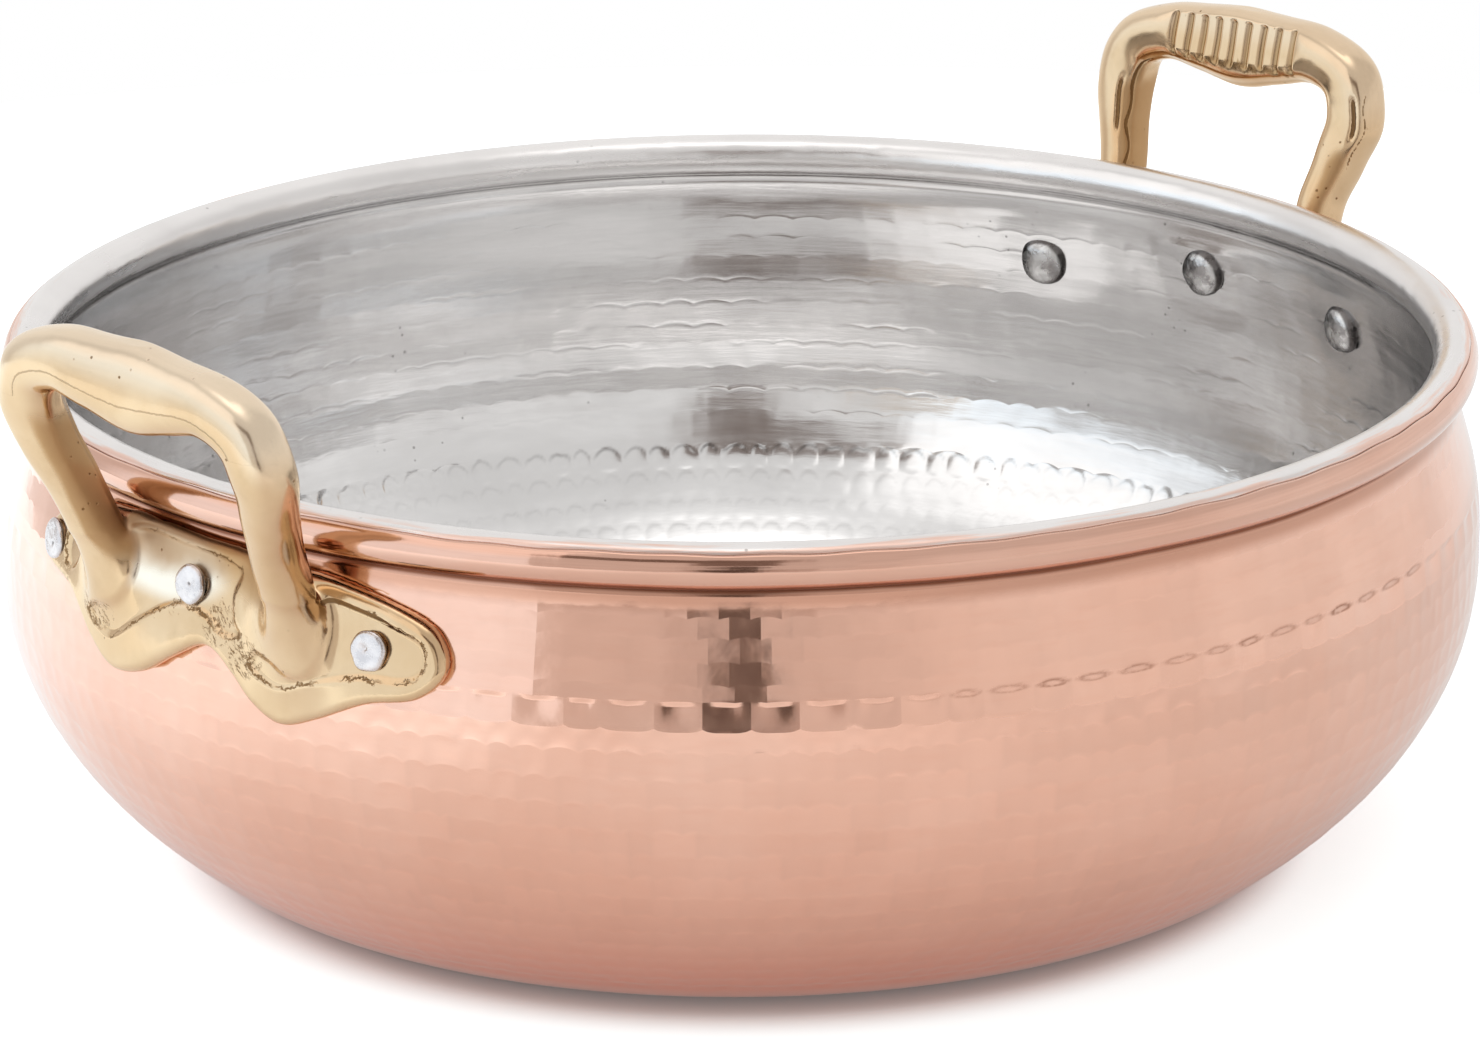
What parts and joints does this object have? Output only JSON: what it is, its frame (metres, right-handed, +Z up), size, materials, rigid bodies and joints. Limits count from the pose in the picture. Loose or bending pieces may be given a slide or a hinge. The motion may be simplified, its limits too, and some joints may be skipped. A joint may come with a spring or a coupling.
{
  "type": "vegetable dish",
  "caption": "Round hammered copper vegetable dish with a bellied wall, wired rim, tin lining and riveted cast brass loop handles.",
  "frame": {"origin": "centre of the flat base, at its underside", "axes": "+Z up; the handles stand at -X and +X"},
  "size_m": [0.325, 0.2824, 0.127],
  "materials": {
    "copper": "polished, hammered",
    "tin": "wiped, satin",
    "iron": "plain drawn wire",
    "brass": "cast and polished",
    "rivet": "tinned, hammered"
  },
  "bodies": {
    "root": {"copper_bowl": "copper", "tin_lining": "tin", "rim_wire": "iron", "handle_left": "brass", "handle_right": "brass", "rivet_left_left": "rivet", "rivet_left_middle": "rivet", "rivet_left_right": "rivet", "rivet_right_left": "rivet", "rivet_right_middle": "rivet", "rivet_right_right": "rivet"}
  },
  "joints": []
}
